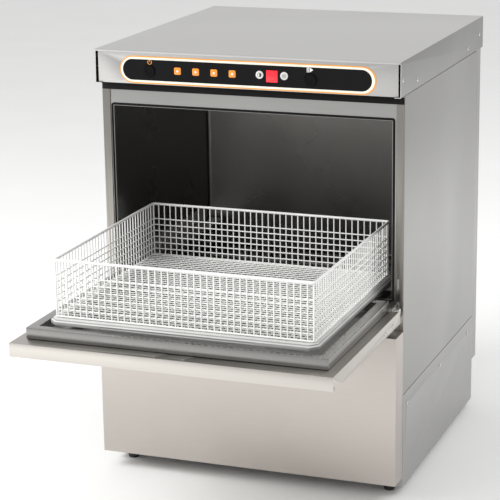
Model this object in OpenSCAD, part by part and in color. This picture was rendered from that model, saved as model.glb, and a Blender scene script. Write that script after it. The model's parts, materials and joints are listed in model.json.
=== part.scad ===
// Front-loading glass washer with a drop-down door, millimetres.
// The origin is on the floor, under the middle of the whole machine with its door open.
// X runs to the right, Y to the back and Z up. The rack stands on the open door.
// The depths below are counted from the hood's front edge, and placed() moves them to the origin.

/* [Cabinet] */
// Width over the side panels
body_w = 600; // [590:1:620]
// Depth of the hood
hood_d = 610; // [606:1:640]
// Height from the floor to the top of the hood
body_h = 835; // [830:1:850]
// Height of the feet under the cabinet
foot_h = 15; // [10:1:20]
// Thickness of the casing sheet
sheet = 1.2; // [0.8:0.1:1.5]
// Depth at which the front frame lies behind the hood's front edge
frame_y = 28; // [28:1:32]
// Depth at which the side panels end
side_back = 560; // [555:1:565]
// Depth of the rear cover's outer face
cover_back = 600; // [595:1:604]
// Height of the hood
hood_h = 65; // [62:1:70]

/* [Door] */
// Thickness of the door
door_t = 25; // [24:0.5:26]
// Length of the open door in front of the hood
door_out = 392; // [388:1:392]
// Height of the hinge axis
hinge_z = 371; // [369:1:373]
// Depth of the hinge axis
hinge_y = 2; // [1:0.5:3]
// Height of the inner liner above the door
liner_h = 21; // [18:1:22]
// Diameter of the hinge pins
pin_d = 8; // [6:1:8]

/* [Rack] */
// Width of the basket
rack_w = 491; // [480:1:494]
// Depth of the basket
rack_d = 445; // [430:1:448]
// Height of the basket
rack_h = 108; // [100:1:120]
// Distance between the bars of the basket
bar_pitch = 36.6; // [30:0.2:50]

/* [Wash system] */
// Reach of the wash arms from their axis
arm_reach = 210; // [190:1:212]
// Depth of the arms' axis
arm_y = 262; // [258:1:264]
// Outside diameter of the wash pipes
pipe_d = 28; // [26:1:28]
// Outside diameter of the overflow standpipe
standpipe_d = 28; // [24:1:30]

/* [Controls] */
// Diameter of the power button
power_d = 23.5; // [20:0.5:25]
// Diameter of the start button
start_d = 25; // [20:0.5:26]
// Diameter of the two small keys
key_d = 15; // [12:0.5:16]

/* [Hidden] */
$fn = 48;
middle_y = (hood_d - door_out) / 2;
gap = 0.3;                              // between pieces that only stand beside each other
half_w = body_w / 2;
inside_x = half_w - sheet - gap;        // inner limit of everything inside the side panels
hood_z = body_h - hood_h;
skirt_z = foot_h + 1;
base_z = foot_h;                        // underside of the chassis base
base_t = 2;
floor_z = base_z + base_t;              // top of the chassis base
seam_z = 201;                           // between the lower and upper side panels
flange = 12;                            // width of the folded edges of the panels
frame_front = frame_y + sheet + 0.4;
frame_t = 1.5;
frame_back = frame_front + frame_t;
rear_front = side_back - 3.5;           // the rear panel stands inside the side panels
rear_t = 1.5;

open_x = 276.5;                         // half width of the loading opening
sill_z = 386;
lintel_z = 723;
rim_t = 1;                              // raised rim round the opening
rim_out = 2.2;
panel_front = -21;                      // the lower front panel is flush with the closed door
panel_top = 326;
panel_bottom = 35;
jamb_w = 16;                            // width of the side panels' front edges

door_z = hinge_z - 23;                  // underside of the open door
door_top = door_z + door_t;
door_back = 6;
liner_x = 282;
liner_front = -361;
liner_back = -6;
liner_top = door_top + liner_h;
liner_band = 18;
lug_x = 285;
lug_t = 4;
lug_r = 8;
ear_r = 7;                              // radius of the door's ears round the hinge pins
notch_x0 = 283.5;
notch_x1 = 290.5;
notch_front = -8;
hem_d = 10;                             // folded lip under the door's grip edge
hem_h = 5;
channel_top = 360;                      // the finger channel's slanted wall, from its top to its foot
channel_bottom = 346;
run_fit = 0.05;                         // radial clearance of the running fits

rack_z = liner_top + 0.4;               // underside of the rack
rack_base_h = 10;
rack_base_x = 252.5;
rack_base_front = -333;
rack_base_back = 128;
rack_front = -320;
basket_z = rack_z + rack_base_h;
basket_t = 3;
bar_w = 4;
rim_w = 6;

chamber_back = 503;
ceiling_z = 745;
tank_x = 230;
tank_front = 70;
tank_back = 460;
tank_z = 228;
wall = 1.5;
drain_at = [185, 405];
sump_at = [-90, arm_y];

element_y = [110, 150];                 // depths of the tank element's two legs
element_z = 252;
element_r = 5;

pipe_r = pipe_d / 2;
pipe_bore = pipe_r - 2;
spindle_r = 10;
hub_r = 20;
wash_arm_h = 16;
rinse_arm_h = 12;
arm_gap = 4;                            // height between the wash arm and the rinse arm
arm_play = 0.5;
lower_wash_z = 344;
lower_rinse_z = 364;
upper_wash_z = 716;
upper_rinse_z = 700;
lower_hub_h = 24;
lower_socket = 15;
upper_socket = 6;
pump_at = [0, arm_y, 95];               // centre of the pump, its shaft lies along X
shaft_r = 6;
branch_z = 185;
riser_y = 532;
riser_top = 762;

fascia_y = 3;
label_t = 0.6;
label_x0 = -249.5;
label_x1 = 254;
label_z0 = 772.5;
label_z1 = 824.5;
power_at = [-189.5, 797];
start_at = [128.5, 795];
key_at = [[30.7, 800], [78.4, 800]];
display_at = [54.6, 798];
display_w = 22;
lamp_at = [-132.3, -95.8, -59.5, -23.2];
lamp_z = 799;
lamp_w = 13.5;

screw_r = 4;
screw_head = 1.6;
lower_screws = [60, 300, 519];          // depths of the lower side panels' screws
hood_screws = [[13, 801], [110, 786], [485, 786], [580, 801]];
door_side_screws = [-40, -87];

// ---- shared shapes ----

// Box between two limits on each axis
module block(x, y, z) {
    translate([x[0], y[0], z[0]])
        cube([x[1] - x[0], y[1] - y[0], z[1] - z[0]]);
}

// Moves its children from depths behind the hood's front edge to the origin
module placed() {
    translate([0, -middle_y, 0])
        children();
}

// Rectangular ring standing on z[0], its walls t thick
module ring(x, y, z, t) {
    difference() {
        block(x, y, z);
        block([x[0] + t, x[1] - t], [y[0] + t, y[1] - t], [z[0] - 1, z[1] + 1]);
    }
}

// Its children and their mirror image on the other side of the cabinet
module both_sides() {
    children();
    mirror([1, 0, 0])
        children();
}

// Cylinder along Y that starts at the given point
module bar_y(at, length, r) {
    translate(at)
        rotate([-90, 0, 0])
            cylinder(h = length, r = r);
}

// Cylinder along X that starts at the given point
module bar_x(at, length, r) {
    translate(at)
        rotate([0, 90, 0])
            cylinder(h = length, r = r);
}

// Cylinder from one point to another
module rod(a, b, r) {
    v = b - a;
    translate(a)
        rotate([0, acos(v.z / norm(v)), atan2(v.y, v.x)])
            cylinder(h = norm(v), r = r);
}

// Solid run of straight lengths through the points, rounded at the corners
module run(points, r) {
    for (i = [1 : len(points) - 1])
        rod(points[i - 1], points[i], r);
    if (len(points) > 2)
        for (i = [1 : len(points) - 2])
            translate(points[i])
                sphere(r = r);
}

// Pan-head screw along X, its head on the face at x
module side_screw(x, y, z, shank = 8) {
    bar_x([x, y, z], screw_head, screw_r);
    bar_x([x - shank, y, z], shank + 0.5, screw_r / 2);
}

// ---- cabinet ----

module chassis_base() {
    rim_h = 25;
    color("silver") placed()
        difference() {
            union() {
                block([-inside_x, inside_x], [frame_back + gap, rear_front - gap], [base_z, floor_z]);
                ring([-inside_x, inside_x], [frame_back + gap, rear_front - gap],
                     [base_z, base_z + rim_h], sheet);
            }
            foot_positions()
                cylinder(h = 3 * base_z, r = 4.3);
        }
}

module foot_positions() {
    for (x = [-268, 268], y = [50, 530])
        translate([x, y, 0])
            children();
}

module adjustable_feet() {
    stud_top = 36;
    nut_h = 6;
    color("#202022") placed()
        foot_positions() {
            cylinder(h = foot_h - 6, r1 = 10, r2 = 12.5);
            translate([0, 0, foot_h - 6])
                cylinder(h = 5.7, r = 12.5);
            cylinder(h = stud_top, r = 4);
            translate([0, 0, floor_z + gap])
                cylinder(h = nut_h, r = 7.5, $fn = 6);
        }
}

// Sheet behind the door with the loading opening above and a service opening below
module front_frame() {
    service_x = 250;
    color("silver") placed()
        difference() {
            union() {
                block([-inside_x, inside_x], [frame_front, frame_back], [floor_z - base_t, hood_z - 2]);
                block([-open_x - rim_t, open_x + rim_t], [frame_front - rim_out, frame_back],
                      [sill_z - rim_t, lintel_z + rim_t]);
            }
            block([-open_x, open_x], [0, 2 * frame_y], [sill_z, lintel_z]);
            block([-service_x, service_x], [0, 2 * frame_y], [60, 320]);
        }
}

module lower_front_panel() {
    x = half_w;
    color("#cfc8bd") placed()
        difference() {
            block([-x, x], [panel_front, frame_y - 1], [panel_bottom, panel_top]);
            block([sheet - x, x - sheet], [panel_front + sheet, frame_y],
                  [panel_bottom + sheet, panel_top - sheet]);
        }
}

// One side sheet with edges folded inwards at the front, the back and the top
module side_sheet(z0, z1, screws) {
    difference() {
        union() {
            block([half_w - sheet, half_w], [frame_y, side_back], [z0, z1]);
            block([half_w - jamb_w, half_w], [frame_y, frame_y + sheet], [z0, z1]);
            block([half_w - flange, half_w], [side_back - sheet, side_back], [z0, z1]);
            block([half_w - flange, half_w], [frame_back + gap, rear_front - gap], [z1 - sheet, z1]);
        }
        for (s = screws)
            bar_x([half_w - 5, s[0], s[1]], 10, screw_r / 2 + 0.2);
    }
}

module upper_side() {
    slot_z = 416;
    color("#b4b4ac") placed()
        difference() {
            side_sheet(seam_z + 0.5, hood_z - 0.5, []);
            block([half_w - 13, half_w - 9], [frame_y - 1, frame_y + 2], [slot_z - 10, slot_z + 10]);
            // room for the hinge bracket
            block([half_w - jamb_w - 1, lug_x + lug_t + 1], [frame_y - 1, frame_y + 2],
                  [panel_top + 2, hinge_z + 11]);
        }
}

module side_panel_right() {
    upper_side();
}

module side_panel_left() {
    mirror([1, 0, 0])
        upper_side();
}

module lower_side() {
    screw_z = 174.5;
    color("#b9b9b2") placed()
        side_sheet(skirt_z - 1, seam_z - 0.5, [for (y = lower_screws) [y, screw_z]]);
}

module lower_side_panel_right() {
    lower_side();
}

module lower_side_panel_left() {
    mirror([1, 0, 0])
        lower_side();
}

module rear_panel() {
    color("silver") placed()
        difference() {
            block([-inside_x, inside_x], [rear_front, rear_front + rear_t], [floor_z - base_t, hood_z - 2]);
            bar_y([drain_at.x, rear_front - 5, 60], 10, pipe_r + 1);
            bar_y([90, rear_front - 5, 60], 10, 13.6);
            bar_y([250, rear_front - 5, 60], 10, 8.3);
        }
}

module rear_cover() {
    cover_z = 100;
    x = half_w - 2;
    color("#d6dad5") placed()
        difference() {
            block([-x, x], [side_back + gap, cover_back], [cover_z, hood_z - 0.5]);
            block([sheet - x, x - sheet], [side_back - 1, cover_back - sheet],
                  [cover_z + sheet, hood_z - 0.5 - sheet]);
        }
}

module hood() {
    lip = 4;
    color("#cfd0cc") placed()
        difference() {
            block([-half_w, half_w], [0, hood_d], [hood_z, body_h]);
            block([sheet - half_w, half_w - sheet], [sheet, hood_d - sheet],
                  [hood_z + sheet, body_h - sheet]);
            // open below inside the folded edges, and open in front for the fascia
            block([flange - half_w, half_w - flange], [-1, hood_d - flange], [hood_z - 1, hood_z + 5]);
            block([sheet - half_w, half_w - sheet], [-1, sheet + 1], [hood_z - 1, body_h - lip]);
            both_sides()
                for (s = hood_screws)
                    bar_x([half_w - 5, s[0], s[1]], 10, screw_r / 2 + 0.2);
        }
}

module fascia() {
    x = half_w - sheet - 4.3;
    back = fascia_y + 16;
    z0 = hood_z + sheet + gap;
    z1 = body_h - sheet - 3.3;
    color("#c8c6c2") placed()
        difference() {
            block([-x, x], [fascia_y, back], [z0, z1]);
            block([-x - 1, x + 1], [fascia_y + sheet, back + 1], [z0 + sheet, z1 - sheet]);
            control_cutouts(1);
        }
}

// Cut-outs for the buttons, keys, lamps and display, with extra room round each
module control_cutouts(extra) {
    start = -1;
    depth = 10;
    bar_y([power_at[0], start, power_at[1]], depth, power_d / 2 + 0.3);
    bar_y([start_at[0], start, start_at[1]], depth, start_d / 2 + 0.3);
    for (k = key_at)
        bar_y([k[0], start, k[1]], depth, key_d / 2 + 0.3);
    for (x = lamp_at)
        square_column([x, lamp_z], lamp_w / 2 + gap, start, depth);
    square_column(display_at, display_w / 2 + gap, start, depth);
}

// Square column along Y, centred on [x, z]
module square_column(at, half, y0, y1) {
    block([at[0] - half, at[0] + half], [y0, y1], [at[1] - half, at[1] + half]);
}

module fascia_label() {
    color("#1a1a1c") placed()
        difference() {
            block([label_x0, label_x1], [fascia_y - label_t, fascia_y], [label_z0, label_z1]);
            control_cutouts(0);
        }
}

module lamp_lenses() {
    color("#e8862a") placed()
        for (x = lamp_at)
            square_column([x, lamp_z], lamp_w / 2, fascia_y - 1.2, fascia_y + 9);
}

module display_window() {
    color("#e3222a") placed()
        square_column(display_at, display_w / 2, fascia_y - 1.4, fascia_y + 9);
}

// Circuit board behind the fascia with a switch behind each button
module control_board() {
    board_y = 17;
    color("#2c6b3f") placed()
        block([-240, 240], [board_y, board_y + 1.6], [778, 822]);
    color("#303034") placed()
        for (p = [power_at, start_at, key_at[0], key_at[1]])
            square_column(p, 5, 15.6, board_y);
}

module seal_strip() {
    color("#141416") placed()
        block([-half_w + 1, half_w - 1], [frame_y - 1.8, frame_y - 0.2], [754, 767]);
}

// Rubber seal round the loading opening, which the door's liner presses on
module door_gasket() {
    margin = rim_t + gap;
    seal_w = 3.6;
    inner = open_x + margin;
    outer = inner + seal_w;
    low = sill_z - margin;
    high = lintel_z + margin;
    color("#1c1a1a") placed()
        difference() {
            block([-outer, outer], [frame_y - 2.6, frame_front - 0.1], [low - seal_w, high + seal_w]);
            block([-inner, inner], [0, 2 * frame_y], [low, high]);
        }
}

module hinge_brackets() {
    leaf_back = frame_front - 0.1;
    color("silver") placed()
        both_sides()
            difference() {
                union() {
                    block([lug_x, lug_x + lug_t], [hinge_y, leaf_back],
                          [hinge_z - lug_r, hinge_z + lug_r]);
                    bar_x([lug_x, hinge_y, hinge_z], lug_t, lug_r);
                    block([lug_x, lug_x + lug_t], [frame_y - 0.8, leaf_back],
                          [panel_top + 4, hinge_z + lug_r]);
                }
                bar_x([lug_x - 1, hinge_y, hinge_z], lug_t + 2, pin_d / 2 + run_fit);
            }
}

module panel_screws() {
    screw_z = 174.5;
    color("silver") placed()
        both_sides() {
            for (y = lower_screws)
                side_screw(half_w, y, screw_z);
            for (s = hood_screws)
                side_screw(half_w, s[0], s[1]);
        }
}

// ---- washing chamber and tank ----

module wash_chamber() {
    x = open_x;
    y0 = frame_back + gap;
    floor_low = 330;
    color("#8c8c86") placed()
        difference() {
            block([-x - sheet, x + sheet], [y0, chamber_back + sheet], [floor_low, ceiling_z + sheet]);
            block([-x, x], [y0 - 1, chamber_back], [floor_low + sheet, ceiling_z]);
            block([-tank_x + 4, tank_x - 4], [tank_front + 4, tank_back - 4], [floor_low - 1, floor_low + 3]);
            translate([0, arm_y, ceiling_z - 1])
                cylinder(h = 5, r = pipe_r + gap);
        }
}

module rack_rails() {
    top = liner_top;
    color("silver") placed()
        both_sides() {
            block([236, open_x - gap], [60, 480], [top - 2, top]);
            block([open_x - 2, open_x - gap], [60, 480], [top, top + 26]);
        }
}

// Open tank under the chamber floor with a flange round its mouth
module wash_tank() {
    top = 329.7;
    color("#9a9a94") placed()
        difference() {
            union() {
                block([-tank_x, tank_x], [tank_front, tank_back], [tank_z, top]);
                block([-tank_x - flange, tank_x + flange], [tank_front - flange, tank_back + flange],
                      [top - wall, top]);
            }
            block([wall - tank_x, tank_x - wall], [tank_front + wall, tank_back - wall],
                  [tank_z + wall, top + 1]);
            translate([0, arm_y, tank_z - 1])
                cylinder(h = 5, r = pipe_r + gap);
            translate([sump_at.x, sump_at.y, tank_z - 1])
                cylinder(h = 5, r = 13);
            translate([drain_at.x, drain_at.y, tank_z - 1])
                cylinder(h = 5, r = pipe_bore);
            for (y = element_y)
                bar_x([-tank_x - 1, y, element_z], 5, element_r + gap);
        }
}

// Perforated tray that covers the tank's mouth
module tank_filter() {
    z0 = 331.5;
    x = tank_x + 4;
    y0 = tank_front - 4;
    y1 = tank_back + 4;
    pitch = [26, 92];
    slot = [16, 84];
    columns = floor((2 * x - slot.x) / pitch.x);
    rows = floor((y1 - y0 - slot.x) / pitch.y);
    color("#b0b0aa") placed()
        translate([0, 0, z0])
            linear_extrude(2)
                difference() {
                    translate([-x, y0])
                        square([2 * x, y1 - y0]);
                    for (i = [0 : columns - 1], j = [0 : rows - 1])
                        translate([(i - (columns - 1) / 2) * pitch.x - slot.x / 2,
                                   (y0 + y1) / 2 + (j - (rows - 1) / 2) * pitch.y - slot.y / 2])
                            square(slot);
                    translate([0, arm_y])
                        circle(r = 27);
                    translate(drain_at)
                        circle(r = standpipe_d / 2 + 5);
                }
}

// U-shaped heating rod through the tank's left wall
module tank_element() {
    end_x = 120;
    bend_r = (element_y[1] - element_y[0]) / 2;
    middle = (element_y[0] + element_y[1]) / 2;
    start_x = -tank_x - 22;
    color("#6f6f6c") placed() {
        for (y = element_y)
            bar_x([start_x, y, element_z], end_x - start_x, element_r);
        translate([end_x, middle, element_z])
            rotate([0, 0, -90])
                rotate_extrude(angle = 180)
                    translate([bend_r, 0])
                        circle(r = element_r);
        block([-tank_x - 5, -tank_x - gap], [element_y[0] - 14, element_y[1] + 14],
              [element_z - 14, element_z + 14]);
    }
}

// Spindle that carries a wash arm and a rinse arm, drawn upwards from the socket in its base
module spray_hub(base_h, socket_h) {
    cap_h = 10;
    channel_r = 6;
    rinse_z = base_h + arm_play + wash_arm_h + arm_gap;
    cap_z = rinse_z + rinse_arm_h + arm_play;
    difference() {
        union() {
            cylinder(h = base_h, r = 18);
            cylinder(h = cap_z + 1, r = spindle_r);
            translate([0, 0, base_h + 2 * arm_play + wash_arm_h])
                cylinder(h = arm_gap - 2 * arm_play, r = 14);
            translate([0, 0, cap_z])
                cylinder(h = cap_h, r = 16);
        }
        translate([0, 0, -1])
            cylinder(h = socket_h + 1, r = pipe_r + 0.1);
        cylinder(h = cap_z, r = channel_r);
        for (z = [base_h + arm_play + wash_arm_h / 2, rinse_z + rinse_arm_h / 2])
            bar_x([-spindle_r - 1, 0, z], 2 * spindle_r + 2, 3);
    }
}

module lower_spray_hub() {
    color("#4a4a4c") placed()
        translate([0, arm_y, lower_wash_z - arm_play - lower_hub_h])
            spray_hub(lower_hub_h, lower_socket);
}

module upper_spray_hub() {
    top = ceiling_z - 0.1;
    color("#4a4a4c") placed()
        translate([0, arm_y, top])
            mirror([0, 0, 1])
                spray_hub(top - upper_wash_z - wash_arm_h - arm_play, upper_socket);
}

// Hollow spray arm with nozzle slots, its jets pointing up
module spray_arm(reach, width, height, nozzles) {
    skin = 2;
    slot = [4, 12];
    tip = width / 2;
    first = hub_r + 12;
    step = (reach - tip - first) / (nozzles - 1);
    difference() {
        union() {
            cylinder(h = height, r = hub_r);
            translate([tip - reach, -width / 2, 0])
                cube([2 * (reach - tip), width, height]);
            for (side = [-1, 1])
                translate([side * (reach - tip), 0, 0])
                    cylinder(h = height, r = tip);
        }
        for (side = [-1, 1])
            translate([side > 0 ? hub_r : tip - reach, skin - width / 2, skin])
                cube([reach - tip - hub_r, width - 2 * skin, height - 2 * skin]);
        for (side = [-1, 1], i = [0 : nozzles - 1])
            translate([side * (first + i * step) - slot.x / 2, -slot.y / 2, height / 2])
                cube([slot.x, slot.y, height]);
        translate([0, 0, -1])
            cylinder(h = height + 2, r = spindle_r + run_fit);
    }
}

module lower_wash_arm() {
    color("#b9bab6") placed()
        translate([0, arm_y, lower_wash_z])
            spray_arm(arm_reach, 34, wash_arm_h, 5);
}

module lower_rinse_arm() {
    color("#d2d3cf") placed()
        translate([0, arm_y, lower_rinse_z])
            spray_arm(arm_reach - 12, 20, rinse_arm_h, 6);
}

module upper_wash_arm() {
    color("#b9bab6") placed()
        translate([0, arm_y, upper_wash_z + wash_arm_h])
            mirror([0, 0, 1])
                spray_arm(arm_reach, 34, wash_arm_h, 5);
}

module upper_rinse_arm() {
    color("#d2d3cf") placed()
        translate([0, arm_y, upper_rinse_z + rinse_arm_h])
            mirror([0, 0, 1])
                spray_arm(arm_reach - 12, 20, rinse_arm_h, 6);
}

// Tube that stands on the tank's drain and keeps the water level
module overflow_standpipe() {
    r = standpipe_d / 2;
    level = 318;
    grip_h = 26;
    color("#3c4b57") placed()
        translate([drain_at.x, drain_at.y, 0])
            difference() {
                union() {
                    translate([0, 0, tank_z + wall + gap])
                        cylinder(h = level - tank_z, r = r);
                    translate([0, 0, level])
                        cylinder(h = grip_h, r = r + 3);
                }
                translate([0, 0, tank_z])
                    cylinder(h = 2 * level, r = r - 3);
            }
}

// ---- pump, pipes and boiler ----

// Pipe from the pump up to the lower spindle, with a branch behind the chamber to the upper one
module wash_riser() {
    low = [0, arm_y, pump_at.z + 57];
    high = [0, arm_y, lower_wash_z - arm_play - lower_hub_h + lower_socket - 1];
    branch = [[0, arm_y, branch_z], [0, riser_y, branch_z], [0, riser_y, riser_top],
              [0, arm_y, riser_top], [0, arm_y, ceiling_z - upper_socket + 1]];
    color("#8f9194") placed()
        difference() {
            union() {
                rod(low, high, pipe_r);
                run(branch, pipe_r);
            }
            rod(low - [0, 0, 1], high + [0, 0, 1], pipe_bore);
            run(branch, pipe_bore);
            translate([0, arm_y, ceiling_z - upper_socket])
                cylinder(h = 5, r = pipe_bore);
        }
}

module suction_hose() {
    r = 15.5;
    start = [sump_at.x, sump_at.y, tank_z - gap];
    route = [start, [start.x, start.y, pump_at.z], [-46, pump_at.y, pump_at.z]];
    color("#2a2a2c") placed()
        difference() {
            run(route, r);
            run(route, r - 2.5);
            translate(start - [0, 0, 1])
                cylinder(h = 2, r = r - 2.5);
            bar_x(route[2] - [1, 0, 0], 2, r - 2.5);
        }
}

module pump_volute() {
    outer_r = 55;
    half = 26;
    color("#37383c") placed()
        translate(pump_at)
            difference() {
                union() {
                    bar_x([-half, 0, 0], 2 * half, outer_r);
                    bar_x([-half - 19, 0, 0], 20, 16);
                    cylinder(h = outer_r + 14, r = 18);
                }
                bar_x([-half + 6, 0, 0], 2 * (half - 6), outer_r - 8);
                bar_x([-half - 20, 0, 0], 30, 13);
                bar_x([half - 10, 0, 0], 20, shaft_r + run_fit);
                cylinder(h = outer_r + 20, r = pipe_bore);
                translate([0, 0, outer_r])
                    cylinder(h = 20, r = pipe_r + 0.1);
            }
}

module pump_motor() {
    x0 = 30;
    length = 130;
    foot_w = 60;
    outer_r = 48;
    end_wall = 10;
    color("#5b5e63") placed()
        translate(pump_at)
            difference() {
                union() {
                    bar_x([x0, 0, 0], length, outer_r);
                    block([x0 + 20, x0 + length - 20], [-foot_w / 2, foot_w / 2],
                          [floor_z + gap - pump_at.z, 0]);
                }
                bar_x([x0 + end_wall, 0, 0], length - 2 * end_wall, 32);
                bar_x([x0 - 1, 0, 0], length + 2, shaft_r + run_fit);
            }
}

module pump_rotor() {
    color("#a7a9ac") placed()
        translate(pump_at) {
            bar_x([-12, 0, 0], 176, shaft_r);
            bar_x([-14, 0, 0], 4, 38);
            for (i = [0 : 5])
                rotate([60 * i, 0, 0])
                    block([-10.5, 12], [-1.5, 1.5], [shaft_r - 1, 36]);
            bar_x([44, 0, 0], 100, 28);
        }
}

module boiler() {
    r = 75;
    h = 175;
    at = [-195, 420, floor_z + 13];
    color("#a9aaa8") placed()
        translate(at)
            difference() {
                union() {
                    cylinder(h = h, r = r);
                    translate([0, 0, -12.7])
                        cylinder(h = 15, r = 60);
                }
                translate([0, 0, 2])
                    cylinder(h = h - 4, r = r - 2);
                translate([0, 0, -13])
                    cylinder(h = 12.5, r = 57);
                translate([0, 0, h - 3])
                    cylinder(h = 5, r = 30);
                translate([60, 0, h - 3])
                    cylinder(h = 5, r = 6.3);
            }
}

// Flange with three heating loops that hang in the boiler
module boiler_element() {
    at = [-195, 420, floor_z + 13 + 175];
    leg = 120;
    loop_r = 9;
    color("#7b7c7a") placed()
        translate(at) {
            translate([0, 0, gap])
                cylinder(h = 6, r = 38);
            for (i = [0 : 2])
                rotate([0, 0, 120 * i])
                    translate([17, 0, 0]) {
                        for (y = [-loop_r, loop_r])
                            translate([0, y, -leg])
                                cylinder(h = leg + 2, r = 4);
                        translate([0, 0, -leg])
                            rotate([0, 90, 0])
                                rotate([0, 0, -90])
                                    rotate_extrude(angle = 180)
                                        translate([loop_r, 0])
                                            circle(r = 4);
                    }
        }
}

module rinse_pipe() {
    r = 6;
    x = -135;
    top = 756;
    start = [x, 420, floor_z + 13 + 172];
    route = [start, [x, 420, 216], [x, riser_y, 216], [x, riser_y, top], [x, arm_y, top],
             [-pipe_r - 1, arm_y, top]];
    color("#b07a4a") placed()
        difference() {
            run(route, r);
            run(route, r - 1.2);
            translate(start - [0, 0, 1])
                cylinder(h = 2, r = r - 1.2);
        }
}

module inlet_valve() {
    at = [90, rear_front - gap, 60];
    thread_r = 13.2;
    color("#e3e1da") placed()
        difference() {
            union() {
                block([at.x - 20, at.x + 20], [at.y - 42, at.y], [at.z - 18, at.z + 18]);
                bar_y([at.x, at.y - 1, at.z], 4, thread_r - 1);
                bar_y([at.x, rear_front + rear_t + gap, at.z], 21, thread_r);
                translate([at.x, at.y - 21, at.z])
                    cylinder(h = 48, r = 14);
                bar_y([at.x, at.y - 58, at.z], 20, 6);
            }
            bar_y([at.x, at.y - 60, at.z], 90, 4);
        }
}

module drain_pipe() {
    at = [drain_at.x, drain_at.y, tank_z - gap];
    route = [at, [at.x, at.y, 60], [at.x, side_back + 35, 60]];
    color("#55585c") placed()
        difference() {
            union() {
                run(route, pipe_r - 1);
                bar_y(route[2] - [0, 34, 0], 34, pipe_r);
            }
            run(route, pipe_bore);
            translate(at - [0, 0, 1])
                cylinder(h = 2, r = pipe_bore);
            bar_y(route[2] - [0, 1, 0], 2, pipe_bore);
        }
}

module rinse_aid_doser() {
    x = [205, 275];
    y = [62, 122];
    color("#d9dcde") placed() {
        block(x, y, [floor_z + gap, 120]);
        bar_x([x[0] - 12, 92, 95], 13, 16);
    }
}

// Two capillary thermostats on the tank's left wall
module thermostats() {
    color("#8a6a3c") placed()
        for (y = [300, 350])
            bar_x([-tank_x - 14, y, 275], 14 - gap, 13);
}

module pressure_switch() {
    x = -250;
    y = 130;
    color("#d8d3c4") placed() {
        block([x - 18, x + 18], [y, y + 2], [floor_z + gap, 150]);
        bar_y([x, y + 1.5, 125], 22, 24);
    }
}

// Box on the rear panel in which the mains cable ends
module terminal_box() {
    x = [218, 282];
    y = [500, rear_front - gap];
    z = [40, 105];
    shell = 2.5;
    color("#c9c9c4") placed()
        difference() {
            block(x, y, z);
            block([x[0] + shell, x[1] - shell], [y[0] + shell, y[1] - shell], [z[0] + shell, z[1] - shell]);
            bar_y([250, y[1] - 5, 60], 10, 8.3);
        }
}

module cable_gland() {
    y = rear_front + rear_t + gap;
    at = [250, y, 60];
    color("#2a2a2c") placed()
        difference() {
            union() {
                bar_y([at.x, y - 14, at.z], 24, 8);
                translate([at.x, y, at.z])
                    rotate([-90, 0, 0])
                        cylinder(h = 8, r = 13, $fn = 6);
                bar_y([at.x, y + 8, at.z], 12, 10.5);
            }
            bar_y([at.x, y - 20, at.z], 50, 4.5);
        }
}

// ---- door ----

// Outline of the folded door sheet seen from the side, with the finger channel along its edge
function door_outline() = [
    [-door_out, door_top], [-door_out, door_z], [-door_out + hem_d, door_z],
    [-door_out + hem_d, door_z + hem_h], [-door_out + sheet, door_z + hem_h],
    [-door_out + sheet, door_top - sheet], [-channel_top, door_top - sheet],
    [-channel_bottom, door_z], [door_back, door_z], [door_back, door_top]
];

// Outline of the hollow inside the door
function door_hollow() = [
    [-channel_top + 2 * sheet, door_top - sheet], [-channel_bottom + sheet, door_z + sheet],
    [door_back - sheet, door_z + sheet], [door_back - sheet, door_top - sheet]
];

// Prism along X over an outline given as depth and height
module side_prism(outline, x0, x1) {
    translate([x0, 0, 0])
        rotate([90, 0, 90])
            linear_extrude(x1 - x0)
                polygon(outline);
}

module door_shell() {
    x = half_w;
    plate_x = notch_x0 - 2.5;
    gusset = [[sheet / 2 - door_out, door_top - sheet / 2], [-channel_top + 1, door_top - sheet / 2],
              [-channel_bottom + 1, door_z]];
    color("#a39a90") placed()
        difference() {
            union() {
                difference() {
                    side_prism(door_outline(), -x, x);
                    side_prism(door_hollow(), sheet - x, x - sheet);
                }
                both_sides() {
                    side_prism(gusset, x - sheet, x);
                    block([plate_x, notch_x0], [-60, door_back - sheet], [door_z, door_top]);
                    bar_x([plate_x, hinge_y, hinge_z], notch_x0 - plate_x, ear_r);
                    bar_x([x - 4, hinge_y, hinge_z], 4, ear_r);
                }
            }
            both_sides() {
                block([notch_x0, notch_x1], [notch_front, door_back + ear_r],
                      [hinge_z - lug_r - 2, door_top + ear_r]);
                bar_x([plate_x - 1, hinge_y, hinge_z], half_w - sheet - plate_x + 1, pin_d / 2 + 0.02);
                for (y = door_side_screws)
                    bar_x([x - 5, y, door_z + 9], 10, screw_r / 2 + 0.2);
            }
            for (side = [-1, 1])
                translate([side * 26, 8 - door_out, door_top - 3])
                    cylinder(h = 5, r = screw_r / 2 + 0.2);
        }
}

module door_liner() {
    x = liner_x;
    y = [liner_front, liner_back];
    z0 = door_top + 0.2;
    band = liner_band;
    color("#b6b5b0") placed()
        difference() {
            block([-x, x], y, [z0, liner_top]);
            block([band - x, x - band], [y[0] + band, y[1] - band], [z0 + wall, liner_top + 1]);
            difference() {
                block([wall - x, x - wall], [y[0] + wall, y[1] - wall], [z0 + wall, liner_top - wall]);
                block([band - wall - x, x - band + wall], [y[0] + band - wall, y[1] - band + wall],
                      [z0, liner_top]);
            }
        }
}

module hinge_pins() {
    color("#d0d0cc") placed()
        both_sides()
            bar_x([notch_x0 - 2.5, hinge_y, hinge_z], half_w - sheet - notch_x0 + 2.4, pin_d / 2);
}

module door_screws() {
    color("silver") placed() {
        both_sides()
            for (y = door_side_screws)
                side_screw(half_w, y, door_z + 9);
        for (side = [-1, 1])
            translate([side * 26, 8 - door_out, 0]) {
                translate([0, 0, door_top])
                    cylinder(h = 0.6, r = screw_r);
                translate([0, 0, door_top - 5])
                    cylinder(h = 5.3, r = screw_r / 2);
            }
    }
}

// ---- rack ----

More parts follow.
